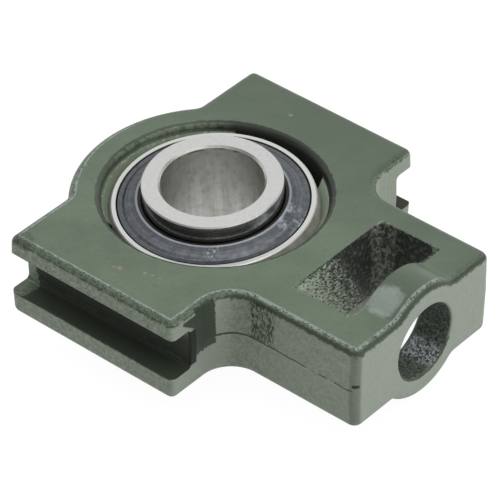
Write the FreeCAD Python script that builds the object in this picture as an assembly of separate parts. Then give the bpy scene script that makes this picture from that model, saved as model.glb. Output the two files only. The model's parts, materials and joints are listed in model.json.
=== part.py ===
"""Take-up bearing unit for a 25 mm shaft: an iron slide housing round a self-aligning insert bearing.

The origin is the centre of the spherical seat. +Z is the shaft axis and points away from the set
screws, and +X points to the adjusting-rod hole. The housing is built square to these axes, with its
guide slots in the -Y and +Y sides, and then leans a few degrees on the insert, which stands upright
on its collar. Lengths are in millimetres.
"""
import FreeCAD
import Part
import math
import os
from FreeCAD import Vector

# Housing outline, at the parting plane
rail_width = 89.0            # across the two guide rails, along Y
rail_length = 51.5           # length of each rail, along X
rail_centre_x = -0.35        # middle of the rails from the shaft axis
neck_width = 50.0            # the neck between rails and rod end, along Y
end_face_x = 63.6            # shaft axis to the outer end face
arc_radius = 35.3            # round end behind the bearing
body_thickness = 22.8        # along Z
face_z = 10.2                # upper face above the seat centre
parting_z = -0.7             # parting plane of the casting
draft_angle = 2.0            # slope of the outer sides either way from the parting plane
rail_corner_radius = 1.8
rail_neck_radius = 8.0
rail_arc_radius = 3.5
neck_corner_radius = 2.5
rim_radius = 2.0             # rounding all round both faces
housing_lean = 4.3           # degrees about X that the housing leans on the insert at rest

# Guide slots
slot_width = 11.5            # along Z, for the guide rails of the take-up frame
slot_bottom_distance = 75.4  # from one slot bottom to the other, along Y
slot_centre_z = -0.45
slot_lip_radius = 0.4
slot_root_radius = 1.2

# Nut pocket, end wall and adjusting-rod hole
pocket_width = 31.4          # along Y at the parting plane
pocket_centre_y = 1.0
end_wall_thickness = 10.1
pocket_length = 16.1         # along X
pocket_corner_radius = 3.0
pocket_draft = 3.0
rod_axis_y = 0.6             # adjusting-rod hole and boss, off the seat centre
rod_axis_z = -1.7
boss_radius = 15.4
boss_blend_radius = 3.0
rod_hole_radius = 9.7
rod_hole_edge_radius = 0.8   # outer edge
rod_hole_mouth_radius = 1.8  # inner edge, in the pocket

# Bearing seat in the housing
seat_half_width = 5.6        # from the seat centre to the edge of the spherical seat
seat_recess_step = 1.35      # the round recess at each face is this much wider than the sphere
seat_recess_foot = 8.5       # upright wall of the recess from here up, a cone down to the seat
seat_recess_edge_radius = 1.6
seat_clearance = 0.05        # between the spherical seat and the outer ring
loading_slot_half_width = 13.8
loading_slot_depth_past_centre = 0.5

# Insert bearing
shaft_radius = 12.5
sphere_radius = 26.0         # spherical outside of the outer ring
outer_ring_width = 17.0
inner_ring_length = 34.1
front_length = 14.3          # inner ring from the seat centre to its short end
bore_chamfer = 0.5
ring_edge_chamfer = 0.3
outer_ring_edge_chamfer = 0.2
ball_radius = 3.969
ball_count = 9
pitch_offset = 0.25          # balls outside the middle between shaft and spherical outside
race_conformity = 1.04       # raceway groove radius over ball radius
race_clearance = 0.03
inner_land_drop = 2.5        # outside of the inner ring inside the balls' pitch circle
outer_land_drop = 2.7        # shoulders of the outer ring outside the balls' pitch circle

# Relubrication path
lube_plane_z = -4.6
lube_groove_width = 1.8
lube_groove_depth = 0.5
lube_hole_radius = 0.75
thread_clearance = 0.05
feed_hole_radius = 1.4

# Grease nipple
nipple_angle = 150.0
nipple_thread_radius = 3.0
nipple_hole_land = 2.6       # iron between the tapped hole and the seat
nipple_hex_across_flats = 7.0
nipple_hex_height = 3.0
nipple_spot_radius = 5.2
nipple_spot_depth = 1.0      # spot face below the round end of the housing
nipple_shoulder_radius = 2.6
nipple_neck_radius = 1.9
nipple_head_radius = 3.2
nipple_tip_radius = 2.0
nipple_taper_height = 1.2    # from shoulder to neck, and from neck to head
nipple_neck_height = 0.8
nipple_head_height = 0.7
nipple_tip_height = 1.4
nipple_bore_radius = 0.9

# Cage
cage_sheet = 0.6
cage_pocket_clearance = 0.1
cage_half_band = 1.4         # half the ribbon's radial width
rivet_radius = 0.5
rivet_head_radius = 0.95
rivet_crown_radius = 0.55    # flat top of the domed head
rivet_head_height = 0.4
rivet_clearance = 0.02

# Seals
shield_sheet = 0.4
shield_edge_gap = 0.15       # thin gap inside the outer ring's rim
shield_sink = 0.15           # flat rim of the shield below the ring's side face
shield_rim_width = 2.05      # from the edge to the top of the step round the dished middle
shield_step_run = 0.7        # radial length of the step
shield_step_height = 0.5
shield_bend_radius = 0.3     # rounding of the bends and of the inner edge
shield_inner_gap = 1.0       # from the inner ring to the shield's inner edge
shield_inner_height = 1.7    # inner edge above the flat rim
seal_seat_depth = 2.1        # from the side face to the shoulder that the shield stands on
lip_clearance = 0.1          # rubber lip to the inner ring
lip_sink = 0.35              # rubber below the shield's inner edge
lip_bond_width = 1.2         # rubber under the shield's inner margin
lip_thickness = 0.9
lip_edge_height = 0.5        # the running edge is drawn in to a blunt point

# Set screws
set_screw_radius = 3.0
set_screw_length = 6.0
set_screw_from_end = 5.5
set_screw_angles = (-90.0, 30.0)
set_screw_socket = 3.0       # across the flats of the hexagon
set_screw_socket_depth = 2.6
set_screw_cup_radius = 1.5
set_screw_cup_depth = 0.7
set_screw_cup_rim = 0.3      # flat ring round the cup
set_screw_bore_gap = 0.25    # point of the backed-off screw outside the bore

# Worked out from the sizes above
upper_height = face_z - parting_z       # from the parting plane to the upper face
lower_height = body_thickness - upper_height
rail_start_x = rail_centre_x - rail_length / 2
rail_end_x = rail_centre_x + rail_length / 2
draft_slope = math.tan(math.radians(draft_angle))
seat_radius = sphere_radius + seat_clearance
seat_edge_radius = math.sqrt(seat_radius ** 2 - seat_half_width ** 2)
seat_recess_radius = seat_radius + seat_recess_step
ring_half_width = outer_ring_width / 2
ring_face_radius = math.sqrt(sphere_radius ** 2 - ring_half_width ** 2)
pitch_radius = (shaft_radius + sphere_radius) / 2 + pitch_offset
inner_ring_radius = pitch_radius - inner_land_drop
outer_shoulder_radius = pitch_radius + outer_land_drop
seal_seat_radius = (outer_shoulder_radius + ring_face_radius) / 2
shield_radius = seal_seat_radius - shield_edge_gap
shield_step_radius = shield_radius - shield_rim_width
shield_inner_radius = inner_ring_radius + shield_inner_gap
collar_length = inner_ring_length - front_length
end_wall_x = end_face_x - end_wall_thickness
pocket_start_x = end_wall_x - pocket_length
nipple_seat_distance = arc_radius - nipple_spot_depth
nipple_thread_length = nipple_seat_distance - seat_radius - nipple_hole_land
race_radius = ball_radius * race_conformity
inner_race_bottom = pitch_radius - ball_radius - race_clearance
outer_race_bottom = pitch_radius + ball_radius + race_clearance
shoulder_z = ring_half_width - seal_seat_depth
shield_rim_z = ring_half_width - shield_sink
x_axis = Vector(1, 0, 0)
y_axis = Vector(0, 1, 0)
z_axis = Vector(0, 0, 1)
reach = 2 * (rail_width + end_face_x)   # longer than the part, for cutters
overshoot = 1.0                         # how far a cutter runs past the face it opens
least_flat = 0.1                        # straight wall left beside a rounding that the wall limits


def polygon_face(points):
    """Flat face inside straight lines between the points."""
    corners = [Vector(*point) for point in points]
    return Part.Face(Part.makePolygon(corners + corners[:1]))


def rounded_face(place, corners):
    """Flat face inside corners (a, b), or (a, b, radius) for a rounded one, that place() puts in space."""
    points = [place(corner[0], corner[1]) for corner in corners]
    edges = []
    last = None
    first = None
    for k, corner in enumerate(corners):
        before = (points[k - 1] - points[k]).normalize()
        after = (points[(k + 1) % len(points)] - points[k]).normalize()
        start = end = points[k]
        if len(corner) == 3:
            half_turn = before.getAngle(after) / 2
            inward = (before + after).normalize()
            start = points[k] + before * (corner[2] / math.tan(half_turn))
            end = points[k] + after * (corner[2] / math.tan(half_turn))
            middle = points[k] + inward * (corner[2] / math.sin(half_turn) - corner[2])
            edges.append(Part.Arc(start, middle, end).toShape())
        if last is not None and last.distanceToPoint(start) > 1e-6:
            edges.append(Part.LineSegment(last, start).toShape())
        if first is None:
            first = start
        last = end
    if last.distanceToPoint(first) > 1e-6:
        edges.append(Part.LineSegment(last, first).toShape())
    return Part.Face(Part.Wire(Part.__sortEdges__(edges)))


def turned(corners, axis=z_axis):
    """Outline of (radius, height) corners turned once round the Z axis, or (x, radius) round X."""
    if axis is z_axis:
        face = rounded_face(lambda r, z: Vector(r, 0, z), corners)
    else:
        face = rounded_face(lambda x, r: Vector(x, 0, r), corners)
    return face.revolve(Vector(), axis, 360)


def tube(inner, outer, low, high):
    """Plain round tube on the Z axis."""
    return turned([(inner, low), (outer, low), (outer, high), (inner, high)])


def one_solid(shape):
    """The single solid that a boolean result holds, with its split faces joined."""
    cleaned = shape.removeSplitter()
    return cleaned.Solids[0] if len(cleaned.Solids) == 1 else cleaned


def upright_edges_at(solid, places, least_height):
    """Near-vertical edges that stand over the given (x, y) places."""
    near = 1.5
    found = []
    for edge in solid.Edges:
        middle = edge.BoundBox.Center
        if edge.BoundBox.ZLength > least_height and any(
                math.hypot(middle.x - x, middle.y - y) < near for x, y in places):
            found.append(edge)
    return found


def rail_block(height):
    """Both rails from the parting plane up, their ends and sides sloping in towards the face."""
    half_width = rail_width / 2
    shift = height * draft_slope
    across = polygon_face([(rail_start_x, -half_width, 0), (rail_start_x, half_width, 0),
                           (rail_start_x, half_width - shift, height),
                           (rail_start_x, -half_width + shift, height)])
    along = polygon_face([(rail_start_x, -half_width, 0), (rail_end_x, -half_width, 0),
                          (rail_end_x - shift, -half_width, height),
                          (rail_start_x + shift, -half_width, height)])
    block = across.extrude(x_axis * rail_length)
    return block.common(along.extrude(y_axis * rail_width))


def neck_block(height):
    """The neck from the parting plane up: drafted sides, and an upright end face for the rod's nut."""
    half_width = neck_width / 2
    shift = height * draft_slope
    section = polygon_face([(0, -half_width, 0), (0, half_width, 0),
                            (0, half_width - shift, height), (0, -half_width + shift, height)])
    return section.extrude(x_axis * end_face_x)


def round_end(height):
    """The round end behind the bearing, from the parting plane up."""
    cone = Part.makeCone(arc_radius, arc_radius - height * draft_slope, height)
    behind = Part.makeBox(arc_radius, 2 * arc_radius, height, Vector(-arc_radius, -arc_radius, 0))
    return cone.common(behind)


def boss_block(start_x, height, axis_height):
    """Boss round the rod hole, from the parting plane up, blended into the face on both sides."""
    blend_height = height - axis_height + boss_blend_radius
    blend_y = math.sqrt((boss_radius + boss_blend_radius) ** 2 - blend_height ** 2)
    share = boss_radius / (boss_radius + boss_blend_radius)
    touch_y = blend_y * share
    touch_z = axis_height + blend_height * share

    def blend(side):
        bottom = Vector(start_x, side * blend_y, height)
        turn = -math.pi / 2 - (math.pi / 2 - math.atan2(blend_height, blend_y)) / 2
        on_arc = Vector(start_x, side * (blend_y + boss_blend_radius * math.cos(turn)),
                        height + boss_blend_radius * (1 + math.sin(turn)))
        top = Vector(start_x, side * touch_y, touch_z)
        return Part.Arc(bottom, on_arc, top).toShape()

    crown = Part.Arc(Vector(start_x, -touch_y, touch_z), Vector(start_x, 0, axis_height + boss_radius),
                     Vector(start_x, touch_y, touch_z)).toShape()
    foot = [Vector(start_x, blend_y, height), Vector(start_x, blend_y, 0),
            Vector(start_x, -blend_y, 0), Vector(start_x, -blend_y, height)]
    lines = [Part.LineSegment(a, b).toShape() for a, b in zip(foot, foot[1:])]
    outline = Part.Wire(Part.__sortEdges__([crown, blend(-1), blend(1)] + lines))
    boss = Part.Face(outline).extrude(x_axis * (end_face_x - start_x))
    boss.translate(y_axis * rod_axis_y)
    return boss


def rim_edges(solid, height, skipped):
    """Edges between the outer sides and the face, apart from those inside the skipped solid."""
    step = 0.3
    found = []
    for edge in solid.Edges:
        if edge.BoundBox.ZMin < height - 0.01:
            continue
        middle_parameter = (edge.FirstParameter + edge.LastParameter) / 2
        middle = edge.valueAt(middle_parameter)
        sideways = edge.tangentAt(middle_parameter).cross(z_axis).normalize() * step
        below = middle - z_axis * step
        beside = [solid.isInside(below + sideways * side, 0.001, False) for side in (-1, 1)]
        if beside[0] != beside[1] and not skipped.isInside(middle, 0.01, True):
            found.append(edge)
    return found


def pocket_cutter():
    """The nut pocket's space, right through: three drafted walls and an upright end wall."""
    height = boss_radius + abs(rod_axis_z - parting_z) + overshoot
    spread = height * math.tan(math.radians(pocket_draft))
    half_width = pocket_width / 2

    def half(side):
        across = polygon_face([(0, -half_width, 0), (0, half_width, 0),
                               (0, half_width + spread, side * height),
                               (0, -half_width - spread, side * height)])
        along = polygon_face([(pocket_start_x, -neck_width, 0), (end_wall_x, -neck_width, 0),
                              (end_wall_x, -neck_width, side * height),
                              (pocket_start_x - spread, -neck_width, side * height)])
        block = across.extrude(x_axis * end_face_x).common(along.extrude(y_axis * 2 * neck_width))
        corners = [(x, y) for x in (pocket_start_x - spread / 2, end_wall_x)
                   for y in (-half_width - spread / 2, half_width + spread / 2)]
        return block.makeFillet(pocket_corner_radius, upright_edges_at(block, corners, height * 0.9))

    pocket = one_solid(half(1).fuse(half(-1)))
    pocket.translate(y_axis * pocket_centre_y)
    return pocket


def seat_recess(face_height):
    """Cone from the seat's edge out to a wall with a rounded mouth, as a cutter for one face."""
    wall = seat_recess_radius
    mouth = min(seat_recess_edge_radius, face_height - seat_recess_foot - least_flat)
    top = face_height + overshoot
    return turned([(0, seat_half_width), (seat_edge_radius, seat_half_width), (wall, seat_recess_foot),
                   (wall, face_height, mouth), (wall + mouth, face_height), (wall + mouth, top),
                   (0, top)])


def loading_slots():
    """The two notches in the recess that let the ring in edgewise, down to the seat's centre."""
    low = -loading_slot_depth_past_centre
    space = Part.makeCylinder(seat_recess_radius, face_z - low, Vector(0, 0, low))
    across = Part.makeBox(2 * loading_slot_half_width, reach, reach,
                          Vector(-loading_slot_half_width, -reach / 2, low))
    return space.common(across)


def guide_slot(side):
    """Slot along one rail, open at both ends, with rounded lips and roots."""
    bottom = slot_bottom_distance / 2
    lip_height = slot_width / 2 + slot_lip_radius
    mouth = rail_width / 2 - lip_height * draft_slope
    root = min(slot_root_radius, mouth - bottom - slot_lip_radius - least_flat)
    outline = []
    for up in (-1, 1):
        points = [(bottom, up * slot_width / 2, root),
                  (mouth, up * slot_width / 2, slot_lip_radius), (mouth, up * lip_height),
                  (mouth + overshoot, up * lip_height)]
        outline += points[::-up]
    start_x = rail_start_x - overshoot
    face = rounded_face(lambda y, z: Vector(start_x, side * y, slot_centre_z + z), outline)
    return face.extrude(x_axis * (rail_length + 2 * overshoot))


def rod_hole():
    """Hole for the adjusting rod through the end wall, with both edges rounded."""
    wall = rod_hole_radius
    edge = rod_hole_edge_radius
    mouth = rod_hole_mouth_radius
    hole = turned([(end_wall_x - overshoot, 0), (end_wall_x - overshoot, wall + mouth),
                   (end_wall_x, wall + mouth), (end_wall_x, wall, mouth), (end_face_x, wall, edge),
                   (end_face_x, wall + edge), (end_face_x + overshoot, wall + edge),
                   (end_face_x + overshoot, 0)], x_axis)
    hole.translate(Vector(0, rod_axis_y, rod_axis_z))
    return hole


def nipple_direction():
    """Unit vector from the shaft axis to the grease nipple."""
    angle = math.radians(nipple_angle)
    return Vector(math.cos(angle), math.sin(angle), 0)


def nipple_hole():
    """Spot face, tapped hole and feed hole that lead grease to the seat."""
    out = nipple_direction()
    centre = z_axis * lube_plane_z
    spot = Part.makeCylinder(nipple_spot_radius, arc_radius, centre + out * nipple_seat_distance, out)
    tapped_from = nipple_seat_distance - nipple_thread_length - thread_clearance
    tapped = Part.makeCylinder(nipple_thread_radius, reach, centre + out * tapped_from, out)
    feed = Part.makeCylinder(feed_hole_radius, nipple_seat_distance - pitch_radius,
                             centre + out * pitch_radius, out)
    return spot.fuse([tapped, feed])


def body_half(height, axis_height, pocket):
    """Half of the casting from the parting plane up, without its pocket, seat, slots and rod hole."""
    half = one_solid(round_end(height).fuse([rail_block(height), neck_block(height)]))
    shift = height * draft_slope / 2
    side_y = rail_width / 2 - shift
    neck_y = neck_width / 2 - shift
    arc_y = math.sqrt(arc_radius ** 2 - rail_start_x ** 2)
    rounded = [
        (rail_corner_radius, [(x, y) for x in (rail_start_x + shift, rail_end_x - shift)
                              for y in (-side_y, side_y)]),
        (rail_neck_radius, [(rail_end_x - shift, -neck_y), (rail_end_x - shift, neck_y)]),
        (rail_arc_radius, [(rail_start_x, -arc_y), (rail_start_x, arc_y)]),
        (neck_corner_radius, [(end_face_x, -neck_y), (end_face_x, neck_y)]),
    ]
    for radius, places in rounded:
        half = half.makeFillet(radius, upright_edges_at(half, places, height * 0.9))
    boss = boss_block(end_wall_x - pocket_length / 2, height, axis_height)
    half = one_solid(half.fuse(boss))
    return half.makeFillet(rim_radius, rim_edges(half, height, pocket))


def housing():
    """The casting: both halves and the pocket, then everything placed from the seat centre."""
    pocket = pocket_cutter()
    rod_height = rod_axis_z - parting_z
    upper = body_half(upper_height, rod_height, pocket)
    lower = body_half(lower_height, -rod_height, pocket).mirror(Vector(), z_axis)
    body = one_solid(upper.fuse(lower).cut(pocket))
    body.translate(z_axis * parting_z)
    lower_recess = seat_recess(body_thickness - face_z).mirror(Vector(), z_axis)
    cutters = [Part.makeSphere(seat_radius), seat_recess(face_z), lower_recess, loading_slots(),
               guide_slot(-1), guide_slot(1), rod_hole(), nipple_hole()]
    return one_solid(body.cut(cutters))


def race_cutter(bottom, inward):
    """Ball track: a ring of round section whose bottom lies at the given radius."""
    centre = bottom - race_radius if inward else bottom + race_radius
    return Part.makeTorus(centre, race_radius)


def outer_ring():
    """Outer ring: spherical outside, ball track, stepped ends for the seals and grease holes."""
    edge_z = ring_half_width - outer_ring_edge_chamfer
    edge_radius = math.sqrt(sphere_radius ** 2 - edge_z ** 2)
    cone = Part.makeCone(edge_radius, ring_face_radius - outer_ring_edge_chamfer,
                         outer_ring_edge_chamfer, Vector(0, 0, edge_z))
    belt = Part.makeCylinder(reach, 2 * edge_z, Vector(0, 0, -edge_z))
    blank = Part.makeSphere(sphere_radius).common(belt.fuse([cone, cone.mirror(Vector(), z_axis)]))
    bore = Part.makeCylinder(outer_shoulder_radius, outer_ring_width, Vector(0, 0, -ring_half_width))
    seal_seat = Part.makeCylinder(seal_seat_radius, seal_seat_depth, Vector(0, 0, shoulder_z))
    groove_low = lube_plane_z - lube_groove_width / 2
    groove_bottom = math.sqrt(sphere_radius ** 2 - groove_low ** 2) - lube_groove_depth
    groove = tube(groove_bottom, sphere_radius + overshoot, groove_low, groove_low + lube_groove_width)
    out = nipple_direction()
    grease_hole = Part.makeCylinder(lube_hole_radius, 2 * sphere_radius,
                                    z_axis * lube_plane_z - out * sphere_radius, out)
    cutters = [bore, seal_seat, seal_seat.mirror(Vector(), z_axis), groove, grease_hole,
               race_cutter(outer_race_bottom, True)]
    return one_solid(blank.cut(cutters))


def set_screw_frame(angle):
    """Where a set screw's axis meets the shaft axis, and the way it points outwards."""
    turn = math.radians(angle)
    return Vector(0, 0, set_screw_from_end - collar_length), Vector(math.cos(turn), math.sin(turn), 0)


def inner_ring():
    """Inner ring with its long collar, chamfered ends, ball track and tapped holes."""
    profile = [(shaft_radius, -collar_length + bore_chamfer),
               (shaft_radius + bore_chamfer, -collar_length),
               (inner_ring_radius - ring_edge_chamfer, -collar_length),
               (inner_ring_radius, -collar_length + ring_edge_chamfer),
               (inner_ring_radius, front_length - ring_edge_chamfer),
               (inner_ring_radius - ring_edge_chamfer, front_length),
               (shaft_radius + bore_chamfer, front_length),
               (shaft_radius, front_length - bore_chamfer)]
    ring = turned(profile).cut(race_cutter(inner_race_bottom, False))
    for angle in set_screw_angles:
        centre, out = set_screw_frame(angle)
        ring = ring.cut(Part.makeCylinder(set_screw_radius, reach, centre, out))
    return one_solid(ring)


def hexagon_bar(across_flats, length, base, direction):
    """A six-sided bar from a base point along a direction."""
    corner = across_flats / math.sqrt(3)
    corners = [(corner * math.cos(math.radians(60 * k)), corner * math.sin(math.radians(60 * k)), 0)
               for k in range(6)]
    bar = polygon_face(corners).extrude(z_axis * length)
    bar.Placement = FreeCAD.Placement(base, FreeCAD.Rotation(z_axis, direction))
    return bar


def set_screw(angle):
    """Socket set screw with a cup point, backed off until its point clears the bore."""
    centre, out = set_screw_frame(angle)
    point = centre + out * (shaft_radius + set_screw_bore_gap)
    head = point + out * set_screw_length
    radius = set_screw_radius - thread_clearance
    rim_radius_at_point = set_screw_cup_radius + set_screw_cup_rim
    taper = radius - rim_radius_at_point
    cone = Part.makeCone(rim_radius_at_point, radius, taper, point, out)
    shank = Part.makeCylinder(radius, set_screw_length - taper, point + out * taper, out)
    cup = Part.makeCone(set_screw_cup_radius, 0, set_screw_cup_depth, point, out)
    socket = hexagon_bar(set_screw_socket, set_screw_socket_depth,
                         head - out * set_screw_socket_depth, out)
    return one_solid(cone.fuse(shank).cut([cup, socket]))


def on_pitch_circle(steps):
    """Point on the balls' pitch circle, a number of ball steps round from +X."""
    angle = steps * 2 * math.pi / ball_count
    return Vector(pitch_radius * math.cos(angle), pitch_radius * math.sin(angle), 0)


ball_centres = [on_pitch_circle(k) for k in range(ball_count)]
rivet_centres = [on_pitch_circle(k + 0.5) for k in range(ball_count)]


def cage_half(side):
    """Half of the ribbon cage: a flat band pressed into a cup over every ball."""
    pocket = ball_radius + cage_pocket_clearance
    cup = pocket + cage_sheet
    inner = pitch_radius - cage_half_band
    outer = pitch_radius + cage_half_band
    band = tube(inner, outer, min(0, side * cup), max(0, side * cup))
    flat = tube(inner, outer, min(0, side * cage_sheet), max(0, side * cage_sheet))
    cups = [Part.makeSphere(cup, centre).common(band) for centre in ball_centres]
    cutters = [Part.makeSphere(pocket, centre) for centre in ball_centres]
    for centre in rivet_centres:
        cutters.append(Part.makeCylinder(rivet_radius + rivet_clearance, 4 * cage_sheet,
                                         centre - z_axis * 2 * cage_sheet))
    return one_solid(flat.fuse(cups).cut(cutters))


def cage_rivets():
    """One rivet between each two balls, headed on both halves of the cage."""
    rivets = []
    for centre in rivet_centres:
        shank = Part.makeCylinder(rivet_radius, 2 * cage_sheet, centre - z_axis * cage_sheet)
        head = Part.makeCone(rivet_head_radius, rivet_crown_radius, rivet_head_height,
                             centre + z_axis * cage_sheet)
        rivets.append(one_solid(shank.fuse([head, head.mirror(Vector(), z_axis)])))
    return Part.makeCompound(rivets)


def shield(side):
    """Pressed steel cap of a seal: a flat rim, a step and a dished middle with a rounded edge."""
    bend = shield_bend_radius
    sheet = shield_sheet
    step_foot = shield_step_radius + shield_step_run
    step_top = shield_rim_z + shield_step_height
    inner_top = shield_rim_z + shield_inner_height
    outside = [(shield_radius, shoulder_z), (shield_radius, shield_rim_z), (step_foot, shield_rim_z, bend),
               (shield_step_radius, step_top, bend), (shield_inner_radius, inner_top, sheet / 2),
               (shield_inner_radius, inner_top - sheet)]
    inside = [(shield_step_radius, step_top - sheet), (step_foot, shield_rim_z - sheet),
              (shield_radius - sheet, shield_rim_z - sheet), (shield_radius - sheet, shoulder_z)]
    return turned([(corner[0], side * corner[1], *corner[2:]) for corner in outside + inside])


def seal_lip(side):
    """Rubber ring bonded under the shield's inner margin, with a lip that runs on the inner ring."""
    slope = (shield_inner_height - shield_step_height) / (shield_step_radius - shield_inner_radius)
    under = shield_rim_z + shield_inner_height - shield_sheet
    bond_end = shield_inner_radius + lip_bond_width
    bond_z = under - lip_bond_width * slope
    top = under + shield_sheet - lip_sink
    edge_radius = inner_ring_radius + lip_clearance
    edge_z = top - lip_thickness
    profile = [(edge_radius, edge_z), (edge_radius + lip_edge_height / 2, edge_z - lip_edge_height),
               (bond_end - lip_edge_height / 2, bond_z - lip_thickness), (bond_end, bond_z),
               (shield_inner_radius, under), (shield_inner_radius, top),
               (edge_radius + lip_edge_height / 2, top)]
    return turned([(r, side * z) for r, z in profile])


def grease_nipple():
    """Straight grease nipple: threaded shank, hexagon and a necked head."""
    out = nipple_direction()
    seat = z_axis * lube_plane_z + out * nipple_seat_distance
    shank = Part.makeCylinder(nipple_thread_radius - thread_clearance, nipple_thread_length,
                              seat - out * nipple_thread_length, out)
    hexagon = hexagon_bar(nipple_hex_across_flats, nipple_hex_height, seat, out)
    neck_low = nipple_taper_height
    neck_high = neck_low + nipple_neck_height
    head_low = neck_high + nipple_taper_height
    head_high = head_low + nipple_head_height
    tip = head_high + nipple_tip_height
    head = turned([(0, 0), (nipple_shoulder_radius, 0), (nipple_neck_radius, neck_low),
                   (nipple_neck_radius, neck_high), (nipple_head_radius, head_low),
                   (nipple_head_radius, head_high), (nipple_tip_radius, tip), (0, tip)])
    head.Placement = FreeCAD.Placement(seat + out * nipple_hex_height, FreeCAD.Rotation(z_axis, out))
    feed = Part.makeCylinder(nipple_bore_radius, reach, seat - out * nipple_thread_length, out)
    return one_solid(shank.fuse([hexagon, head]).cut(feed))


def build():
    """Every sub-part under its own name."""
    parts = {
        "housing": housing(),
        "grease_nipple": grease_nipple(),
        "outer_ring": outer_ring(),
        "inner_ring": inner_ring(),
        "cage_half_front": cage_half(1),
        "cage_half_rear": cage_half(-1),
        "cage_rivets": cage_rivets(),
        "front_shield": shield(1),
        "rear_shield": shield(-1),
        "front_seal_lip": seal_lip(1),
        "rear_seal_lip": seal_lip(-1),
    }
    for number, centre in enumerate(ball_centres, 1):
        parts[f"ball_{number}"] = Part.makeSphere(ball_radius, centre)
    for number, angle in enumerate(set_screw_angles, 1):
        parts[f"set_screw_{number}"] = set_screw(angle)
    for name in ("housing", "grease_nipple"):
        parts[name].rotate(Vector(), x_axis, -housing_lean)
    return parts


os.makedirs("parts", exist_ok=True)
for name, shape in build().items():
    shape.exportStep(f"parts/{name}.step")
    box = shape.BoundBox
    print(f"{name}: {len(shape.Solids)} solid(s), {shape.Volume:.0f} mm3, valid {shape.isValid()},",
          f"x {box.XMin:.2f} to {box.XMax:.2f}, y {box.YMin:.2f} to {box.YMax:.2f},",
          f"z {box.ZMin:.2f} to {box.ZMax:.2f}")
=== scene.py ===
"""Looks of the take-up bearing unit: enamel over rough cast iron, ground steel, blued shields.

Lengths are in metres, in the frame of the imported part: +Z is the shaft axis, +X points to the rod
hole. Only the places on the casting are in millimetres. Colours are written as 0 to 255 display
values. A grain is the width of one blotch of noise.
"""
import bpy
import json
import math
from mathutils import Matrix, Vector


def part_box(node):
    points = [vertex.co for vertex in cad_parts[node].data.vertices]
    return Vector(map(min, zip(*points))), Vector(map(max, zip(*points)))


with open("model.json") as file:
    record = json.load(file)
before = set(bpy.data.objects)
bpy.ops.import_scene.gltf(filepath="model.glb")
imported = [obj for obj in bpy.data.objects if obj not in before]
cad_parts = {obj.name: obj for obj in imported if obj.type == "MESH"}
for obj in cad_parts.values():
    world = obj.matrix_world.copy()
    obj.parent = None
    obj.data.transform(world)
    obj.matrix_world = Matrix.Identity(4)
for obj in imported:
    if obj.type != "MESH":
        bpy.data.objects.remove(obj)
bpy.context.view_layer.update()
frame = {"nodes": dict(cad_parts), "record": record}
nodes = frame["nodes"]
mounts = {mount["name"]: mount for mount in frame["record"]["mounts"]}

# Read from the frame, in metres
housing_low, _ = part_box("housing")
inner_low, inner_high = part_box("inner_ring")
shaft_radius = mounts["shaft_bore"]["dims"]["r_mm"] / 1000
rails = [Vector(mounts[name]["pos_m"]) for name in ("guide_slot_minus_y", "guide_slot_plus_y")]
lean = math.atan2(rails[1].z - rails[0].z, rails[1].y - rails[0].y)   # the housing's turn about X
shield_inner_radius = inner_high[0] + 0.001
shield_outer_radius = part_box("front_shield")[1][0]

# Painted highlights on the shields, in metres
glint_place, glint_specks_place = (0.0196, 0.0055), (0.0126, -0.0151)

# Places on the casting, in millimetres, with the housing turned square
_, rod_y, rod_z = Matrix.Rotation(-lean, 3, "X") @ Vector(mounts["rod_hole"]["pos_m"]) * 1000
rod_hole_radius = mounts["rod_hole"]["dims"]["r_mm"]
boss_radius = 15.4
boss_swell_y = (18.5, 19.5)                # where the swell round the boss ends, either way
pocket_x, pocket_half_x = 45.45, 8.05
pocket_y, pocket_half_y = 1.0, 15.9
end_wall_x, end_face_x = 53.5, 63.6        # inside and outside of the wall with the rod hole
rail_start_x, rail_end_x = -26.1, 25.4
neck_side_y = -25.0
slot_middle_z, slot_half_height, slot_bottom_y = -0.45, 5.75, 37.35
seat_edge_radius, seat_edge_z = 25.4, 5.6  # a cone leads from here up to the recess's wall
recess_radius, recess_foot_z = 27.4, 8.5
recess_rim_radius = 28.75                  # on the rounding between the recess's wall and the face
recess_end_radius = 29.8                   # past that rounding
loading_half_width, loading_start_y = 13.8, 20.2
boss_start_x = 44.0                        # where the boss runs into the pocket
face_z = 10.2                              # the upper face
seam_z = -1.0

# Marks on the casting, in the same millimetres
bare_corner_x, bare_corner_y = -19.5, -40.5              # of the near rail, at the round end
block_y, block_z = (-35.9, -30.0), (-3.2, 9.6)           # dark patch on the near rail's end face
wedge_y, wedge_top_z = (-40.0, -35.8), 8.4               # its wedge above the slot
beside_slot_y, beside_slot_z = (-38.2, -36.0), (-5.2, 4.4)
pale_patch = (57.0, -7.0)                                # on the upper face, over the end wall
pale_corner_x, pale_corner_y = 41.3, 13.2                # in the pocket
pale_edge_y, pale_edge_z = 2.0, -10.6                    # along the pocket's lower mouth
pits_x, pits_z = (32.4, 38.8), (-0.8, 9.2)               # on the neck's near side
notch_z = (-0.1, 0.6)                                    # in the neck's near corner
bright_band_angle = math.radians(-60)                    # in the rod hole, from +Y towards +Z
far_loading_dark_x = -11.6                               # the far loading slot is dark from here
# Chips on the upper face: x, y, size, colour and strength
face_chips = [(2.1, -36.1, 0.8, (158, 134, 128), 0.6), (0.6, -36.7, 0.45, (150, 150, 140), 0.5),
              (7.7, -33.7, 0.5, (150, 160, 142), 0.5), (9.6, -33.2, 0.4, (150, 160, 142), 0.5),
              (11.5, -32.8, 0.35, (150, 160, 142), 0.5), (-6.1, 35.3, 0.7, (140, 152, 138), 0.5),
              (-30.4, -12.2, 0.6, (140, 152, 138), 0.5), (-18.4, -23.0, 0.4, (140, 152, 138), 0.5),
              (-12.8, -41.1, 0.7, (118, 112, 108), 0.5), (-22.6, -40.6, 1.2, (96, 92, 84), 0.6),
              (-21.4, -43.0, 1.0, (88, 84, 74), 0.6)]

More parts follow.
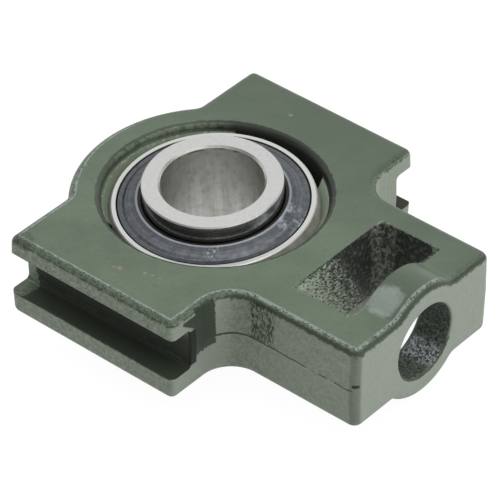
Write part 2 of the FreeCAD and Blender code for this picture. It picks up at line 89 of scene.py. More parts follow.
# Camera, as the photo was taken
camera_azimuth = math.radians(42.593)
camera_elevation = math.radians(41.902)
camera_roll = math.radians(-3.389)
camera_distance = 0.84477
camera_shift_right = -0.00829
camera_shift_up = 0.00582
focal_pixels = 3529.3
photo_width = 500
sensor_width = 36.0

# Studio: how bright its parts are, where 1 is white
backdrop_level, dark_level, overhead_level = 1.0, 0.28, 1.3
floor_level = 0.96
floor_reach = 6.0
lamp_distance = 1.2


def linear(red, green, blue):
    """Linear colour from 0 to 255 display values."""
    def channel(value):
        share = value / 255
        return share / 12.92 if share <= 0.04045 else ((share + 0.055) / 1.055) ** 2.4
    return (channel(red), channel(green), channel(blue), 1.0)


class Nodes:
    """Short calls that add nodes to a tree. Values are numbers, colours or sockets.

    A mask is 1 on the place that it stands for and 0 elsewhere.
    """

    def __init__(self, tree, place):
        self.tree = tree
        self.coordinates = self.add("ShaderNodeTexCoord").outputs
        self.place = self.coordinates[place]

    def add(self, kind, **settings):
        node = self.tree.nodes.new(kind)
        for name, value in settings.items():
            setattr(node, name, value)
        return node

    def put(self, socket, value):
        if isinstance(value, bpy.types.NodeSocket):
            self.tree.links.new(value, socket)
        else:
            socket.default_value = value

    def math(self, operation, first, second=0.0):
        node = self.add("ShaderNodeMath", operation=operation)
        self.put(node.inputs[0], first)
        self.put(node.inputs[1], second)
        return node.outputs[0]

    def chain(self, operation, values):
        result = values[0]
        for value in values[1:]:
            result = self.math(operation, result, value)
        return result

    def plus(self, *values):
        return self.chain("ADD", values)

    def minus(self, first, second):
        return self.math("SUBTRACT", first, second)

    def times(self, first, second):
        return self.math("MULTIPLY", first, second)

    def absolute(self, value):
        return self.math("ABSOLUTE", value)

    def length(self, across, along):
        """Length of the two together, at right angles."""
        return self.math("SQRT", self.plus(self.times(across, across), self.times(along, along)))

    def all_of(self, *masks):
        return self.chain("MULTIPLY", masks)

    def any_of(self, *masks):
        """The largest, of masks or of other numbers."""
        return self.chain("MAXIMUM", masks)

    def step(self, value, low, high, start=0.0, end=1.0):
        """Smooth step: start where the value is low, end where it is high."""
        node = self.add("ShaderNodeMapRange", interpolation_type="SMOOTHSTEP")
        for socket, number in zip(node.inputs, (value, low, high, start, end)):
            self.put(socket, number)
        return node.outputs[0]

    def fall(self, value, low, high):
        """Smooth step down: 1 where the value is low, 0 where it is high."""
        return self.step(value, low, high, 1.0, 0.0)

    def above(self, value, border, soft):
        """Mask of where the value is above the border, which is soft to either side."""
        return self.step(value, border - soft, border + soft)

    def below(self, value, border, soft):
        return self.fall(value, border - soft, border + soft)

    def within(self, value, low, high, soft):
        """Mask of where the value is between low and high, soft outside them."""
        return self.times(self.step(value, low - soft, low), self.fall(value, high, high + soft))

    def vector(self, x, y, z):
        node = self.add("ShaderNodeCombineXYZ")
        for socket, value in zip(node.inputs, (x, y, z)):
            self.put(socket, value)
        return node.outputs[0]

    def split(self, vector):
        node = self.add("ShaderNodeSeparateXYZ")
        self.put(node.inputs[0], vector)
        return node.outputs

    def scaled(self, vector, factors):
        node = self.add("ShaderNodeVectorMath", operation="MULTIPLY")
        self.put(node.inputs[0], vector)
        node.inputs[1].default_value = factors
        return node.outputs[0]

    def rotated(self, vector, axis, angle):
        node = self.add("ShaderNodeVectorRotate", rotation_type=axis + "_AXIS")
        self.put(node.inputs["Vector"], vector)
        node.inputs["Angle"].default_value = angle
        return node.outputs[0]

    def noise(self, grain, detail=3.0, roughness=0.5, place=None):
        """Noise from 0 to 1 whose blotches are about one grain wide."""
        node = self.add("ShaderNodeTexNoise")
        self.put(node.inputs["Vector"], place or self.place)
        node.inputs["Scale"].default_value = 1 / grain
        node.inputs["Detail"].default_value = detail
        node.inputs["Roughness"].default_value = roughness
        return node.outputs[0]

    def patches(self, grain, low, high, detail=3.0, roughness=0.5, place=None):
        """Mask of scattered patches: 0 where the noise is below low, 1 where it is above high."""
        return self.step(self.noise(grain, detail, roughness, place), low, high)

    def cells(self, grain):
        """Distance to the nearest of scattered points, in grains."""
        node = self.add("ShaderNodeTexVoronoi")
        self.put(node.inputs["Vector"], self.place)
        node.inputs["Scale"].default_value = 1 / grain
        return node.outputs["Distance"]

    def mix(self, share, first, second):
        """Colour between two colours."""
        node = self.add("ShaderNodeMix", data_type="RGBA")
        self.put(node.inputs[0], share)
        self.put(node.inputs[6], first)
        self.put(node.inputs[7], second)
        return node.outputs[2]

    def blend(self, share, first, second):
        """Number between two numbers."""
        node = self.add("ShaderNodeMix", data_type="FLOAT")
        self.put(node.inputs[0], share)
        self.put(node.inputs[2], first)
        self.put(node.inputs[3], second)
        return node.outputs[0]


class Material(Nodes):
    """A Principled material. Kinds of it set x and y, and the colour that coats go over."""

    def __init__(self, name, **sockets):
        self.material = bpy.data.materials.new(name)
        self.material.use_nodes = True
        super().__init__(self.material.node_tree, "Object")
        self.shader = self.tree.nodes["Principled BSDF"]
        self.set(**sockets)

    def set(self, **sockets):
        """Sets the shader's sockets, whose names are written with _ for a space."""
        for name, value in sockets.items():
            self.put(self.shader.inputs[name.replace("_", " ")], value)

    def normal(self):
        return self.coordinates["Normal"]

    def bump(self, height, depth, strength=1.0, under=None):
        """Surface normal of a height from 0 to 1 that is the given depth deep."""
        node = self.add("ShaderNodeBump")
        self.put(node.inputs["Height"], height)
        self.put(node.inputs["Strength"], strength)
        node.inputs["Distance"].default_value = depth
        if under is not None:
            self.put(node.inputs["Normal"], under)
        return node.outputs[0]

    def away_from(self, x, y):
        """Distance from a place, seen along the shaft axis."""
        return self.length(self.minus(self.x, x), self.minus(self.y, y))

    def paint(self, share, colour, strength=1.0):
        """Lays a coat over the colour, as far as the share says."""
        if strength != 1.0:
            share = self.times(share, strength)
        self.colour = self.mix(share, self.colour, colour)


class Casting(Material):
    """Enamel on the cast housing, in millimetres, with the housing turned square.

    Near is towards -Y, and the upper face is the one towards +Z.
    """

    def __init__(self):
        super().__init__("cast_housing", IOR=1.5, Specular_IOR_Level=0.42)
        place = self.scaled(self.squared(self.place), (1000, 1000, 1000))
        self.x, self.y, self.z = self.split(place)
        self.nx, self.ny, self.nz = self.split(self.squared(self.normal()))
        self.far_y = self.absolute(self.y)
        self.far_z = self.absolute(self.z)
        self.r = self.length(self.x, self.y)
        self.ragged = self.minus(self.noise(0.0009, 3.0, 0.6), 0.5)
        self.torn = self.minus(self.noise(0.0025, 4.0, 0.65), 0.5)
        self.dust = self.noise(0.0005, 3.0, 0.7)
        self.shade = self.noise(0.016, 4.0, 0.6)
        self.lumps = self.noise(0.0011, 3.0, 0.75)
        self.find_places()
        self.paint_faces()
        self.paint_edges()
        self.paint_slots()
        self.paint_recess()
        self.paint_rough_walls()
        self.paint_near_rail_end()
        self.paint_neck()
        self.paint_chips()
        self.set(Base_Color=self.colour)
        self.add_gloss_and_relief()

    def squared(self, vector):
        """The vector turned back by the housing's lean."""
        return self.rotated(vector, "X", -lean)

    def shifted(self, value, amount, noise=None):
        """The value moved to and fro by noise, for borders that aren't straight."""
        return self.plus(value, self.times(noise or self.ragged, amount))

    def near_face(self, depth, soft):
        """Mask of what lies less than the depth below the upper face."""
        return self.above(self.z, face_z - depth, soft)

    def find_places(self):
        """Masks and measures that more than one coat needs."""
        steep = self.fall(self.absolute(self.nz), 0.35, 0.75)
        self.upper = self.step(self.nz, 0.0, 0.15)
        self.faces_near = self.below(self.ny, -0.7, 0.1)
        self.on_neck = self.above(self.x, rail_end_x + 1.6, 1.0)
        # How far round an outer edge the surface has turned: 0 on a face, 1 on a side. The swell
        # round the boss turns towards Y as well, which doesn't count.
        self.turned = self.blend(self.step(self.far_y, *boss_swell_y), self.absolute(self.nx),
                                 self.length(self.nx, self.ny))
        self.from_rod = self.length(self.minus(self.y, rod_y), self.minus(self.z, rod_z))
        self.in_hole = self.all_of(self.below(self.from_rod, rod_hole_radius + 0.1, 0.2),
                                   self.above(self.x, end_wall_x - 0.5, 0.3))
        pocket_gap = self.any_of(
            self.minus(self.absolute(self.minus(self.x, pocket_x)), pocket_half_x),
            self.minus(self.absolute(self.minus(self.y, pocket_y)), pocket_half_y))
        clear = self.all_of(self.below(self.in_hole, 0.5, 0.1), self.above(pocket_gap, 1.2, 0.2),
                            self.above(self.r, recess_end_radius + 0.7, 0.5))
        self.sides = self.times(steep, clear)
        self.edges = self.all_of(clear, self.above(self.far_z, 6.0, 0.1),
                                 self.above(self.turned, 0.04, 0.02))
        # The pocket's walls and a ragged border round its mouth, but not the boss in the pocket
        beside_boss = self.any_of(self.above(self.from_rod, boss_radius + 0.4, 0.3),
                                  self.below(self.x, boss_start_x, 1.0))
        wall = self.times(steep, self.below(pocket_gap, 1.2, 0.1))
        border = self.times(self.below(self.shifted(pocket_gap, 1.4), 0.62, 0.15),
                            self.near_face(1.0, 0.2))
        self.rough_wall = self.times(beside_boss, self.any_of(wall, border))
        # The guide slots, but for their ends at the round end of the housing
        slant = self.plus(self.x, self.times(self.above(self.nz, 0.45, 0.2), -1.5))
        slot_end = self.below(self.shifted(self.shifted(slant, 3.0), 3.0, self.torn),
                              rail_start_x + 2.9, 0.6)
        self.from_slot = self.minus(self.z, slot_middle_z)
        self.in_slot = self.all_of(self.above(self.far_y, slot_bottom_y - 0.4, 0.2),
                                   self.below(self.absolute(self.shifted(self.from_slot, 0.5)),
                                              slot_half_height + 0.2, 0.15),
                                   self.below(self.absolute(self.nx), 0.55, 0.2),
                                   self.below(slot_end, 0.5, 0.4))
        self.in_recess = self.all_of(self.above(self.r, recess_radius - 0.3, 0.15),
                                     self.below(self.r, recess_end_radius, 0.2),
                                     self.below(self.far_z, face_z + 0.4, 0.1))

    def paint_faces(self):
        """Smooth faces, and dustier, grainier sides that are also painted lighter than the faces,
        as painted light.
        """
        self.colour = self.mix(self.step(self.shade, 0.3, 0.7),
                               linear(81, 98, 78), linear(94, 110, 90))
        self.paint(self.patches(0.0011, 0.5, 0.75, 3.0, 0.6), linear(66, 82, 63), 0.3)
        self.paint(self.step(self.dust, 0.5, 0.7), linear(112, 126, 108), 0.3)
        # Sides: grainy and dusty, and painted lighter than the faces, partly as painted light
        side = self.mix(self.patches(0.001, 0.36, 0.64, 5.0, 0.8),
                        linear(106, 118, 101), linear(143, 153, 138))
        side = self.mix(self.step(self.shade, 0.35, 0.65, 0.0, 0.3), side, linear(116, 124, 110))
        self.paint(self.sides, side)
        slanting = self.rotated(self.rotated(self.place, "X", math.radians(90)),
                                "Z", math.radians(40))
        slanting = self.scaled(slanting, (0.45, 1.3, 1.0))
        flecks = self.all_of(self.sides, self.above(self.z, -0.6, 0.8),
                             self.below(self.nx, 0.6, 0.2),
                             self.patches(0.0008, 0.52, 0.62, 4.0, 0.75, slanting))
        self.paint(flecks, linear(66, 77, 62), 0.55)
        # Painted light: the end face, which faces +X, painted lighter
        end_face = self.all_of(self.sides, self.above(self.nx, 0.75, 0.25))
        self.paint(end_face, linear(156, 165, 153), 0.75)
        # Painted shade: the upper face darker towards +Y, and on the boss's top
        on_boss = self.all_of(self.below(self.from_rod, boss_radius + 0.5, 0.5),
                              self.above(self.x, end_wall_x - 1.5, 2.0))
        far_face_shade = self.all_of(self.above(self.nz, 0.75, 0.2), self.near_face(1.4, 0.3),
                               self.any_of(self.step(self.y, 2.0, 38.0), on_boss))
        self.paint(far_face_shade, linear(70, 85, 66), 0.7)
        # Painted sheen: the neck's near side lighter towards the end face
        neck_side = self.all_of(self.sides, self.faces_near, self.step(self.x, 30.0, 44.0))
        self.paint(neck_side, linear(140, 150, 135), 0.35)

    def paint_edges(self):
        """A thin pale line where a face ends, on the near side only, then speckles, then a dark
        band: the line is a painted highlight broken up like wear, and the band is painted shade.
        """
        frayed = self.shifted(self.turned, 0.3)
        # Painted highlight: a thin pale line along the near edges, broken up like wear
        line_end = self.blend(self.on_neck, 0.26, 0.44)
        edge_highlight = self.all_of(self.above(self.shifted(self.turned, 0.28), 0.06, 0.04),
                           self.below(self.minus(frayed, line_end), 0.0, 0.05),
                           self.edges, self.upper,
                           self.step(self.noise(0.0022, 2.0), 0.36, 0.46, 0.35, 0.9),
                           self.below(self.y, 8.0, 6.0))
        self.paint(edge_highlight, linear(142, 152, 147), 0.95)
        speckles = self.all_of(self.within(self.turned, 0.2, 0.7, 0.1), self.edges,
                               self.patches(0.0006, 0.5, 0.58, 2.0, 0.7))
        self.paint(speckles, linear(62, 74, 60))
        # Painted shade: a dark band further round the rounding
        shade_band_start = self.blend(self.on_neck, 0.8, 0.63)
        edge_shade_band = self.all_of(self.above(self.minus(frayed, shade_band_start), 0.0, 0.07),
                          self.below(frayed, 0.94, 0.05), self.edges, self.upper,
                          self.any_of(self.on_neck, self.patches(0.0018, 0.38, 0.52, 4.0, 0.7)))
        self.paint(edge_shade_band, linear(50, 59, 41), 0.9)
        # The near rail's corner at the round end, and the neck's upright corner
        torn_x = self.shifted(self.x, 6.0, self.torn)
        torn_y = self.shifted(self.y, 4.0, self.torn)
        rail_corner = self.all_of(self.below(torn_x, bare_corner_x, 1.5),
                                  self.below(torn_y, bare_corner_y, 0.8),
                                  self.patches(0.0007, 0.46, 0.54, 3.0, 0.75), self.upper)
        self.paint(rail_corner, linear(62, 66, 52), 0.8)
        post = self.all_of(self.within(self.shifted(self.x, 0.5),
                                       end_face_x - 1.8, end_face_x - 0.2, 0.5),
                           self.below(self.y, neck_side_y + 2.0, 0.4), self.sides)
        self.paint(post, linear(84, 94, 78), 0.5)

    def paint_slots(self):
        """Guide slots dark with painted shade over dust, lighter towards their upper side and along
        the lower root.
        """
        # Painted shade: the slots painted dark
        self.paint(self.in_slot, self.mix(self.dust, linear(34, 41, 31), linear(58, 66, 54)))
        upper_side = self.all_of(self.in_slot, self.step(self.from_slot, 1.0, 5.5))
        self.paint(upper_side, linear(122, 132, 116), 0.7)
        from_root = self.absolute(self.plus(self.from_slot, slot_half_height - 1.1))
        root = self.all_of(self.in_slot, self.below(from_root, 0.2, 0.1),
                           self.patches(0.004, 0.4, 0.6, 2.0))
        self.paint(root, linear(84, 94, 82), 0.7)

    def paint_recess(self):
        """Dusty cone round the seat; painted light, shade and highlights on it and its wall;
        painted shade in the loading slots.
        """
        cone = self.all_of(self.above(self.r, seat_edge_radius - 0.5, 0.1),
                           self.below(self.r, recess_radius - 0.2, 0.15),
                           self.within(self.z, seat_edge_z - 0.6, recess_foot_z + 0.3, 0.1))
        # The cone is dusty, and painted darker towards -X and lighter towards +X: painted light and
        # shade
        cone_lit = self.mix(self.dust, linear(116, 132, 112), linear(162, 176, 158))
        cone_shaded = self.mix(self.dust, linear(94, 109, 90), linear(138, 152, 133))
        self.paint(cone, self.mix(self.step(self.x, -14.0, 10.0), cone_shaded, cone_lit))
        # Painted highlight: pale specks along the foot of the wall
        foot_highlight = self.all_of(cone, self.above(self.shifted(self.r, 1.2), recess_radius - 0.65, 0.15),
                            self.patches(0.0009, 0.5, 0.6, 3.0, 0.7))
        self.paint(foot_highlight, linear(176, 186, 168), 0.7)

        # Painted shade on the recess's wall and its foot, darkest from x = -12 on
        out = self.shifted(self.r, 0.7)
        along_x = self.step(self.x, -24.0, -12.0)
        deep_shade = linear(22, 28, 20)
        wall = self.all_of(self.in_recess, self.below(out, recess_rim_radius, 0.2))
        self.paint(wall, self.mix(along_x, linear(60, 72, 56), deep_shade), 0.94)
        foot = self.all_of(self.in_recess, self.below(out, recess_radius + 0.4, 0.15))
        self.paint(foot, self.mix(along_x, linear(70, 82, 66), deep_shade), 0.8)
        # Painted highlight: a faint light line on the rim's rounding
        rim_highlight = self.all_of(self.in_recess, self.patches(0.003, 0.4, 0.6),
                          self.within(out, recess_rim_radius - 0.1, recess_rim_radius + 0.15, 0.12))
        self.paint(rim_highlight, linear(128, 142, 126), 0.25)
        # Painted highlight: a lighter band at the wall's foot, towards -X
        ring = self.within(self.shifted(self.r, 0.6), recess_radius + 0.1, recess_radius + 0.6, 0.2)
        ledge_highlight = self.all_of(self.in_recess, ring, self.below(self.x, -12.0, 4.0),
                            self.above(self.y, -6.0, 4.0),
                            self.patches(0.0016, 0.36, 0.6, 3.0, 0.7))
        self.paint(ledge_highlight, linear(112, 125, 106), 0.8)

        # Painted shade: near black on the far part of the wall and in the loading slots
        dark = linear(34, 40, 31)
        far_wall_shade = self.all_of(self.in_recess, self.above(self.y, 15.0, 1.0),
                               self.below(out, recess_rim_radius, 0.15),
                               self.step(self.x, -22.0, -12.0),
                               self.below(self.x, loading_half_width + 0.1, 0.1))
        self.paint(far_wall_shade, dark, 0.97)
        loading = self.all_of(self.below(self.absolute(self.x), loading_half_width + 0.3, 0.1),
                              self.above(self.far_y, loading_start_y, 0.3),
                              self.above(self.r, seat_edge_radius - 0.3, 0.1),
                              self.below(self.r, recess_radius + 0.3, 0.1),
                              self.below(self.far_z, face_z - 0.25, 0.1),
                              self.any_of(self.below(self.y, 0.0, 1.0),
                                          self.above(self.shifted(self.x, 3.0),
                                                     far_loading_dark_x, 1.2)))
        self.paint(loading, dark)

    def paint_rough_walls(self):
        """Lumpy unfinished casting, with painted light and a painted shadow: the pocket's walls and
        the rod hole.
        """
        # Painted light and shadow: the wall is pale and grainy up to a slanting, torn border, and
        # dark past it as a painted shadow, with a corner painted lighter
        past = self.minus(self.y, self.plus(2.3, self.times(self.minus(face_z, self.z), 0.6)))
        shadow_side = self.step(self.shifted(past, 5.0, self.torn), -4.0, -0.8)
        slanting = self.scaled(self.rotated(self.place, "X", math.radians(35)), (1.0, 0.55, 1.25))
        share = self.step(past, -16.0, -3.0, 0.43, 0.52)
        grains = self.step(self.minus(self.noise(0.0007, 4.0, 0.8, slanting), share), -0.05, 0.10)
        pale = self.mix(grains, linear(32, 40, 29), linear(206, 220, 198))
        pale_top = self.mix(grains, linear(60, 70, 54), linear(122, 136, 116))
        pale = self.mix(self.near_face(0.6, 0.3), pale, pale_top)
        dark = self.mix(self.step(self.lumps, 0.48, 0.68), linear(27, 32, 24), linear(98, 108, 92))
        corner = self.all_of(self.above(self.y, pale_corner_y, 0.6),
                             self.below(self.x, pale_corner_x, 0.7))
        corner_wall = self.mix(self.step(self.lumps, 0.42, 0.62),
                               linear(58, 65, 54), linear(146, 152, 140))
        self.paint(self.rough_wall,
                   self.mix(shadow_side, pale, self.mix(corner, dark, corner_wall)))
        # The rod hole is dark and speckled, with a painted highlight in a band along it
        angle = self.math("ARCTAN2", self.minus(self.z, rod_z), self.minus(self.y, rod_y))
        highlight_band = self.below(self.absolute(self.minus(angle, bright_band_angle)), 0.26, 0.14)
        hole = self.mix(highlight_band, linear(108, 119, 108), linear(202, 208, 214))
        self.paint(self.in_hole, self.mix(self.patches(0.0007, 0.43, 0.6, 4.0, 0.8),
                                          linear(34, 38, 32), hole))
        # Painted light: a pale strip along the pocket's lower mouth, as light through a gap
        gap_light = self.all_of(self.rough_wall, self.below(self.z, pale_edge_z, 0.5),
                                self.above(self.y, pale_edge_y, 2.0))
        self.paint(gap_light, linear(190, 196, 186), 0.7)

    def paint_near_rail_end(self):
        """Dark patches on the near rail's end face: above and beside the slot."""
        rail_end = self.within(self.x, rail_end_x - 0.9, rail_end_x + 0.9, 0.2)
        block = self.all_of(self.within(self.shifted(self.y, 0.8), *block_y, 0.25),
                            self.within(self.shifted(self.z, 1.8), *block_z, 0.3))
        slant = self.plus(self.z, self.times(self.minus(self.y, wedge_y[0]), 0.8))
        wedge = self.all_of(self.within(self.y, *wedge_y, 0.5),
                            self.above(self.shifted(slant, 1.8), 7.5, 0.3),
                            self.below(self.z, wedge_top_z, 0.2))
        self.paint(self.times(rail_end, self.any_of(block, wedge)), linear(34, 47, 31), 0.93)
        # Painted shade: the dark strip beside the slot, like the slot itself
        beside = self.all_of(rail_end, self.within(self.y, *beside_slot_y, 0.15),
                             self.within(self.z, *beside_slot_z, 0.5))
        self.paint(beside, linear(30, 36, 28))
        self.in_slot = self.any_of(self.in_slot, beside)

    def paint_neck(self):
        """Pale patch on the end wall, and pits, a notch and the broken seam on the side, with a
        painted highlight on the ledge below the seam.
        """
        from_middle = self.shifted(self.away_from(*pale_patch), 4.5, self.torn)
        pale = self.all_of(self.below(from_middle, 3.9, 1.1), self.near_face(0.9, 0.3),
                           self.below(self.x, end_face_x - 2.6, 0.4))
        self.paint(pale, self.mix(self.dust, linear(122, 134, 126), linear(162, 170, 165)), 0.75)
        upright = self.scaled(self.place, (1.6, 1.0, 0.6))
        pits = self.all_of(self.faces_near, self.within(self.shifted(self.x, 2.5), *pits_x, 0.8),
                           self.within(self.z, *pits_z, 0.5),
                           self.patches(0.0008, 0.44, 0.54, 3.0, 0.7, upright))
        self.paint(pits, linear(34, 45, 30), 0.95)
        notch = self.all_of(self.within(self.x, end_face_x - 1.4, end_face_x - 0.1, 0.2),
                            self.below(self.y, neck_side_y + 1.6, 0.2),
                            self.within(self.shifted(self.z, 0.6), *notch_z, 0.15),
                            self.below(self.nx, 0.95, 0.03))
        self.paint(notch, linear(26, 32, 22))

        from_seam = self.minus(self.shifted(self.z, 0.9, self.torn), seam_z)
        along = self.all_of(self.within(self.x, rail_end_x - 1.4, end_face_x - 1.6, 0.8),
                            self.within(self.y, neck_side_y - 5.0, neck_side_y + 2.0, 0.3))
        # Painted highlight on the ledge below the seam
        ledge_highlight = self.all_of(self.within(from_seam, -0.75, -0.3, 0.15), along,
                            self.patches(0.005, 0.45, 0.55, 2.0))
        self.paint(ledge_highlight, linear(152, 160, 140), 0.6)
        width = self.step(self.x, 30.0, 40.0, 0.3, 0.22)
        gaps = self.plus(self.noise(0.0035, 3.0, 0.6), self.step(self.x, 34.0, 48.0, 0.25, 0.06))
        self.seam = self.all_of(self.below(self.minus(self.absolute(from_seam), width), 0.0, 0.1),
                                along, self.above(gaps, 0.49, 0.05))
        self.paint(self.seam, linear(34, 40, 30), 0.9)

    def paint_chips(self):
        faces_up = self.above(self.nz, 0.65, 0.15)
        near_face = self.near_face(1.4, 0.2)
        spots = []
        for x, y, size, colour, strength in face_chips:
            away = self.shifted(self.away_from(x, y), size * 1.6)
            spot = self.all_of(self.below(away, size * 0.75, size * 0.25), faces_up, near_face)
            self.paint(spot, linear(*colour), strength)
            spots.append(spot)
        self.chips = self.any_of(*spots)

    def add_gloss_and_relief(self):
        """Glossy faces and duller sides, slots and chips; relief from broad waves to fine lumps."""
        rough = self.any_of(self.rough_wall, self.in_hole)
        roughness = self.step(self.noise(0.005), 0.3, 0.7, 0.30, 0.42)
        roughness = self.blend(self.sides, roughness, 0.55)
        roughness = self.blend(self.any_of(self.in_slot, self.chips), roughness, 0.75)
        self.set(Roughness=self.blend(rough, roughness, 0.55))
        normal = self.bump(self.noise(0.009, 2.0), 0.0003)
        normal = self.bump(self.noise(0.0013, 2.0), 0.00004, 1.0, normal)
        normal = self.bump(self.noise(0.0028, 3.0, 0.6), 0.00022, self.sides, normal)
        normal = self.bump(self.dust, 0.00012, self.sides, normal)
        normal = self.bump(self.seam, -0.0003, self.seam, normal)
        normal = self.bump(self.lumps, 0.0009, rough, normal)
        self.set(Normal=normal)


class TurnedSteel(Material):
    """Steel turned or ground about the shaft axis."""

    def __init__(self, name):
        super().__init__(name, Metallic=1.0)
        self.x, self.y, self.z = self.split(self.place)
        self.r = self.length(self.x, self.y)
        # Place as radius, length round the axis at the bore, and height
        angle = self.math("ARCTAN2", self.y, self.x)
        self.rounding = self.vector(self.r, self.times(angle, shaft_radius), self.z)
        self.level = self.absolute(self.split(self.normal())[2])   # 1 on a face, 0 on a side
        self.flat = self.step(self.level, 0.5, 0.9)

    def marks(self, grain, roughness=0.6, shortening=0.02):
        """Noise drawn out round the axis."""
        return self.noise(grain, 2.0, roughness, self.scaled(self.rounding, (1, shortening, 1)))


def inner_steel():
    """Inner ring: dotted ground faces, and a satin bore with faint streaks and a stained mouth."""
    m = TurnedSteel("bearing_steel_inner")
    in_bore = m.all_of(m.fall(m.r, shaft_radius + 0.0001, shaft_radius + 0.0004),
                       m.fall(m.level, 0.3, 0.5))
    streaks = m.noise(0.0011, 3.0, 0.6, m.scaled(m.rounding, (1, 1, 0.06)))
    stains = m.step(m.noise(0.0022, 4.0, 0.7), 0.42, 0.7, 0.0, 0.5)
    bore = m.mix(stains, linear(193, 194, 190), linear(150, 146, 132))
    bore = m.mix(m.step(streaks, 0.35, 0.65, 0.0, 0.06), bore, linear(140, 138, 128))
    mouth = m.all_of(m.above(m.z, inner_high[2] - 0.0011, 0.0003),
                     m.patches(0.0016, 0.46, 0.6, 3.0, 0.7))
    bore = m.mix(m.times(mouth, 0.7), bore, linear(92, 84, 62))
    face = m.mix(m.step(m.noise(0.0011, 4.0, 0.75), 0.3, 0.7, 0.0, 0.5),
                 linear(201, 202, 200), linear(184, 184, 180))
    dots = m.step(m.cells(0.0045), 0.03, 0.045, 0.85, 0.0)
    face = m.mix(dots, face, linear(70, 68, 62))
    side = m.mix(m.patches(0.0007, 0.35, 0.65, 4.0, 0.75),
                 linear(175, 174, 170), linear(215, 213, 206))
    m.set(Base_Color=m.mix(in_bore, m.mix(m.flat, side, face), bore))

    turning = m.marks(0.00012)
    roughness = m.blend(m.flat, m.step(turning, 0.3, 0.7, 0.16, 0.24),
                        m.step(turning, 0.3, 0.7, 0.34, 0.46))
    m.set(Roughness=m.blend(in_bore, roughness, m.step(streaks, 0.3, 0.7, 0.36, 0.5)))
    m.set(Normal=m.bump(turning, 0.000004))
    return m


def outer_steel():
    """Outer ring: bright ground faces and a brownish satin spherical outside."""
    m = TurnedSteel("bearing_steel_outer")
    turning = m.marks(0.00015)
    outside = m.mix(m.patches(0.004, 0.35, 0.65, 3.0, 0.6),
                    linear(186, 183, 177), linear(158, 153, 144))
    m.set(Base_Color=m.mix(m.flat, outside, linear(202, 203, 200)))
    m.set(Roughness=m.blend(m.flat, m.step(turning, 0.3, 0.7, 0.5, 0.6),
                            m.step(turning, 0.3, 0.7, 0.34, 0.44)))
    m.set(Metallic=m.blend(m.flat, 0.35, 1.0))
    m.set(Normal=m.bump(turning, 0.000004))
    return m


def blued_steel():
    """Shields: blue-grey oxide with turning marks; painted highlights at the inner edge, in a patch
    and in specks; painted shade near the inner edge and in the gap at the outer edge.
    """
    m = TurnedSteel("shield_steel")
    inner = shield_inner_radius
    m.colour = m.mix(m.patches(0.0014, 0.3, 0.7, 4.0, 0.7),
                     linear(84, 87, 90), linear(110, 114, 117))
    m.paint(m.step(m.marks(0.0009, 0.5), 0.4, 0.62, 0.0, 0.4), linear(72, 76, 82))
    # Painted shade in a band near the inner edge, and a painted highlight on the inner edge itself
    m.paint(m.within(m.r, inner + 0.0009, inner + 0.0016, 0.0005), linear(60, 63, 68), 0.35)
    m.paint(m.within(m.r, inner + 0.00015, inner + 0.0006, 0.00015), linear(168, 173, 180), 0.5)
    # Painted highlights: a patch and specks
    glint_patch = m.all_of(m.below(m.away_from(*glint_place), 0.0044, 0.002),
                      m.patches(0.002, 0.46, 0.62, 4.0, 0.7))
    m.paint(glint_patch, linear(160, 168, 178), 0.75)
    glint_specks = m.all_of(m.below(m.away_from(*glint_specks_place), 0.0017, 0.0008),
                      m.patches(0.0008, 0.53, 0.62, 3.0, 0.7))
    m.paint(glint_specks, linear(190, 190, 190), 0.5)
    # Painted shade: a black line in the gap at the outer edge
    m.paint(m.above(m.r, shield_outer_radius - 0.00032, 0.00006), linear(14, 14, 14))
    m.set(Base_Color=m.colour)
    m.set(Roughness=m.step(m.noise(0.0012), 0.3, 0.7, 0.3, 0.42))
    m.set(Normal=m.bump(m.marks(0.0002, 0.6, 0.03), 0.000006,
                        under=m.bump(m.noise(0.0008), 0.00001)))
    return m


def rubber():
    """Seal lips: near black and dull."""
    m = Material("seal_rubber", Specular_IOR_Level=0.35)
    clouds = m.noise(0.002)
    m.set(Base_Color=m.mix(clouds, linear(18, 18, 18), linear(30, 30, 29)))
    m.set(Roughness=m.step(clouds, 0.3, 0.7, 0.5, 0.65))
    m.set(Normal=m.bump(m.noise(0.0003, 2.0), 0.000015))
    return m


def plain_metal(name, dark, light, roughness, grain=0.0006):
    """Small hidden metal parts: two close tones with a fine grain."""
    m = Material(name, Metallic=1.0)
    m.set(Base_Color=m.mix(m.patches(grain * 4, 0.3, 0.7), dark, light))
    m.set(Roughness=m.step(m.noise(grain), 0.3, 0.7, roughness * 0.8, roughness * 1.25))
    m.set(Normal=m.bump(m.noise(grain, 2.0), 0.00001))
    return m


def dress(look, *names):
    for name in names:
        for slot in nodes[name].material_slots:
            slot.material = look.material


def dress_all():
    dress(Casting(), "housing")
    dress(inner_steel(), "inner_ring")
    dress(outer_steel(), "outer_ring")
    dress(blued_steel(), "front_shield", "rear_shield")
    dress(rubber(), "front_seal_lip", "rear_seal_lip")
    dress(plain_metal("black_screw", linear(45, 45, 47), linear(62, 62, 64), 0.35),
          "set_screw_1", "set_screw_2")
    dress(plain_metal("plated_nipple", linear(196, 190, 170), linear(212, 208, 190), 0.3),
          "grease_nipple")
    dress(plain_metal("cage_steel", linear(170, 168, 160), linear(190, 188, 182), 0.35),
          "cage_half_front", "cage_half_rear", "cage_rivets")
    dress(plain_metal("ball_steel", linear(222, 222, 222), linear(230, 230, 230), 0.08),
          *[name for name in nodes if name.startswith("ball_")])


def towards(azimuth, elevation):
    """Unit vector from the object, with the azimuth counted from -Y towards +X."""
    return Vector((math.sin(azimuth) * math.cos(elevation),
                   -math.cos(azimuth) * math.cos(elevation), math.sin(elevation)))


def add_object(name, data):
    added = bpy.data.objects.new(name, data)
    bpy.context.collection.objects.link(added)
    return added


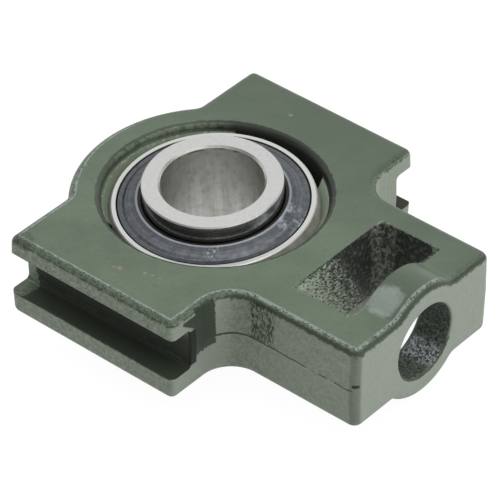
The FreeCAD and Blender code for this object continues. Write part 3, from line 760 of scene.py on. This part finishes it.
def add_camera():
    away = towards(camera_azimuth, camera_elevation)
    level = Vector((math.cos(camera_azimuth), math.sin(camera_azimuth), 0))
    right = Matrix.Rotation(camera_roll, 3, away) @ level
    up = away.cross(right)
    data = bpy.data.cameras.new("camera")
    data.sensor_width = sensor_width
    data.lens = focal_pixels * sensor_width / photo_width
    data.clip_start = 0.01
    camera = add_object("camera", data)
    turn = Matrix((right, up, away)).transposed().to_4x4()
    spot = away * camera_distance - right * camera_shift_right - up * camera_shift_up
    camera.matrix_world = Matrix.Translation(spot) @ turn
    bpy.context.scene.camera = camera


def add_lamp(name, azimuth, elevation, width, power):
    """Large soft square lamp aimed at the object, with its angles in degrees."""
    away = towards(math.radians(azimuth), math.radians(elevation))
    data = bpy.data.lights.new(name, "AREA")
    data.size = width
    data.energy = power
    lamp = add_object(name, data)
    lamp.location = away * lamp_distance
    lamp.rotation_euler = away.to_track_quat("Z", "Y").to_euler()


def add_floor():
    """Floor that the collar stands on. To the eye it glows white, but for a faint shadow."""
    height = min(inner_low[2], housing_low[2])
    corners = [(floor_reach * x, floor_reach * y, height)
               for x, y in ((-1, -1), (1, -1), (1, 1), (-1, 1))]
    mesh = bpy.data.meshes.new("floor")
    mesh.from_pydata(corners, [], [(0, 1, 2, 3)])
    floor = add_object("floor", mesh)
    m = Material("floor_white", Roughness=1.0, Specular_IOR_Level=0.0)
    rays = m.add("ShaderNodeLightPath").outputs
    seen = m.any_of(rays["Is Camera Ray"], rays["Is Glossy Ray"], rays["Is Transmission Ray"])
    m.set(Base_Color=m.mix(seen, (0.8, 0.8, 0.8, 1.0), (0.1, 0.1, 0.1, 1.0)))
    m.set(Emission_Color=(1, 1, 1, 1), Emission_Strength=m.times(seen, floor_level))
    mesh.materials.append(m.material)


def add_world():
    """Photo studio: white behind the object and overhead, dark low down on the camera's side."""
    world = bpy.data.worlds.new("studio")
    world.use_nodes = True
    n = Nodes(world.node_tree, "Generated")
    x, y, z = n.split(n.place)
    # From -1 behind the object to 1 behind the camera
    side = n.plus(n.times(x, math.sin(camera_azimuth)), n.times(y, -math.cos(camera_azimuth)))
    low_level = n.step(side, -0.5, 0.0, backdrop_level, dark_level)
    level = n.step(z, 0.70, 0.84, low_level, overhead_level)
    seen = n.add("ShaderNodeLightPath").outputs["Is Camera Ray"]
    background = n.tree.nodes["Background"]
    n.put(background.inputs["Color"], (1, 1, 1, 1))
    n.put(background.inputs["Strength"], n.blend(seen, level, 1.0))
    bpy.context.scene.world = world


dress_all()
add_camera()
add_lamp("key", azimuth=95, elevation=60, width=0.9, power=2.2)
add_lamp("right", azimuth=112, elevation=18, width=0.5, power=2.6)
add_floor()
add_world()
bpy.context.scene.view_settings.view_transform = "Standard"
